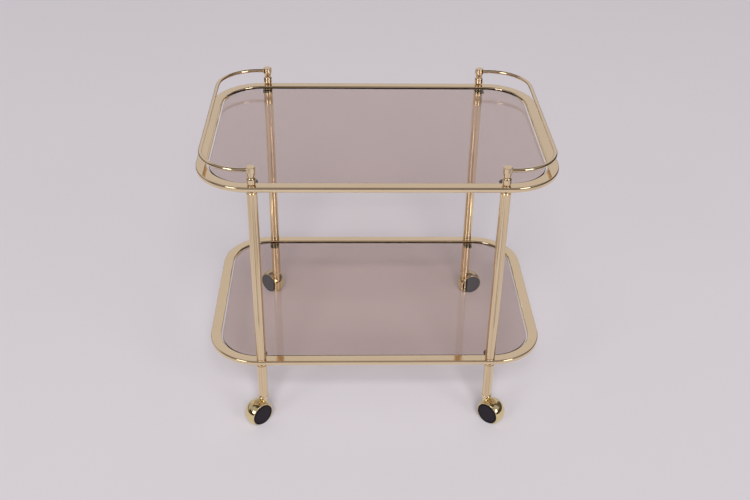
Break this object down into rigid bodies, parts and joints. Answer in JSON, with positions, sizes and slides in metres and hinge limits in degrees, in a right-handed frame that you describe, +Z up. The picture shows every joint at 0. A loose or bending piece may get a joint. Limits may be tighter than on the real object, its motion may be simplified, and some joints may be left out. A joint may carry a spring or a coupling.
{
  "type": "dessert trolley",
  "caption": "Low serving trolley: smoked-glass shelves in rounded brass frames on round legs, with U-shaped gallery rails at its ends and hooded swivel casters.",
  "frame": {"origin": "on the floor, under the middle of the trolley", "axes": "+X along the shelves towards the right end, +Y across towards the rear side, +Z up"},
  "size_m": [0.764, 0.5975, 0.657],
  "materials": {
    "polished_brass": "polished plate",
    "smoked_glass": "clear, tinted mauve brown, polished edges",
    "black_plastic": "matt moulded",
    "pad_rubber": "matt",
    "plated_steel": "zinc plated"
  },
  "bodies": {
    "cart": {"top_frame": "polished_brass", "bottom_frame": "polished_brass", "top_glass": "smoked_glass", "bottom_glass": "smoked_glass", "top_glass_pads": "pad_rubber", "bottom_glass_pads": "pad_rubber", "left_gallery_rail": "polished_brass", "right_gallery_rail": "polished_brass", "front_left_post_cap": "polished_brass", "front_right_post_cap": "polished_brass", "rear_left_post_cap": "polished_brass", "rear_right_post_cap": "polished_brass", "front_left_post_bead": "polished_brass", "front_right_post_bead": "polished_brass", "rear_left_post_bead": "polished_brass", "rear_right_post_bead": "polished_brass", "front_left_upper_leg": "polished_brass", "front_right_upper_leg": "polished_brass", "rear_left_upper_leg": "polished_brass", "rear_right_upper_leg": "polished_brass", "front_left_lower_leg": "polished_brass", "front_right_lower_leg": "polished_brass", "rear_left_lower_leg": "polished_brass", "rear_right_lower_leg": "polished_brass", "front_left_leg_plugs": "polished_brass", "front_right_leg_plugs": "polished_brass", "rear_left_leg_plugs": "polished_brass", "rear_right_leg_plugs": "polished_brass", "upper_studs": "plated_steel", "lower_studs": "plated_steel", "front_left_caster_socket": "polished_brass", "front_right_caster_socket": "polished_brass", "rear_left_caster_socket": "polished_brass", "rear_right_caster_socket": "polished_brass"},
    "front_left_caster": {"front_left_caster_hood": "polished_brass", "front_left_caster_stem": "plated_steel", "front_left_grip_ring": "plated_steel", "front_left_axle": "plated_steel"},
    "front_left_roller": {"front_left_wheel": "black_plastic"},
    "front_right_caster": {"front_right_caster_hood": "polished_brass", "front_right_caster_stem": "plated_steel", "front_right_grip_ring": "plated_steel", "front_right_axle": "plated_steel"},
    "front_right_roller": {"front_right_wheel": "black_plastic"},
    "rear_left_caster": {"rear_left_caster_hood": "polished_brass", "rear_left_caster_stem": "plated_steel", "rear_left_grip_ring": "plated_steel", "rear_left_axle": "plated_steel"},
    "rear_left_roller": {"rear_left_wheel": "black_plastic"},
    "rear_right_caster": {"rear_right_caster_hood": "polished_brass", "rear_right_caster_stem": "plated_steel", "rear_right_grip_ring": "plated_steel", "rear_right_axle": "plated_steel"},
    "rear_right_roller": {"rear_right_wheel": "black_plastic"}
  },
  "joints": [
    {"name": "front_left_swivel", "type": "hinge", "parent": "cart", "child": "front_left_caster", "pos_m": [-0.2575, -0.257, 0.056], "axis": [0, 0, 1], "continuous": true},
    {"name": "front_left_roll", "type": "hinge", "parent": "front_left_caster", "child": "front_left_roller", "pos_m": [-0.26961, -0.26791, 0.025], "axis": [0.6691, -0.7431, 0], "continuous": true},
    {"name": "front_right_swivel", "type": "hinge", "parent": "cart", "child": "front_right_caster", "pos_m": [0.2575, -0.257, 0.056], "axis": [0, 0, 1], "continuous": true},
    {"name": "front_right_roll", "type": "hinge", "parent": "front_right_caster", "child": "front_right_roller", "pos_m": [0.26961, -0.26791, 0.025], "axis": [-0.6691, -0.7431, 0], "continuous": true},
    {"name": "rear_left_swivel", "type": "hinge", "parent": "cart", "child": "rear_left_caster", "pos_m": [-0.2575, 0.257, 0.056], "axis": [0, 0, 1], "continuous": true},
    {"name": "rear_left_roll", "type": "hinge", "parent": "rear_left_caster", "child": "rear_left_roller", "pos_m": [-0.26961, 0.26791, 0.025], "axis": [-0.6691, -0.7431, 0], "continuous": true},
    {"name": "rear_right_swivel", "type": "hinge", "parent": "cart", "child": "rear_right_caster", "pos_m": [0.2575, 0.257, 0.056], "axis": [0, 0, 1], "continuous": true},
    {"name": "rear_right_roll", "type": "hinge", "parent": "rear_right_caster", "child": "rear_right_roller", "pos_m": [0.273, 0.26204, 0.025], "axis": [0.309, -0.9511, 0], "continuous": true}
  ]
}
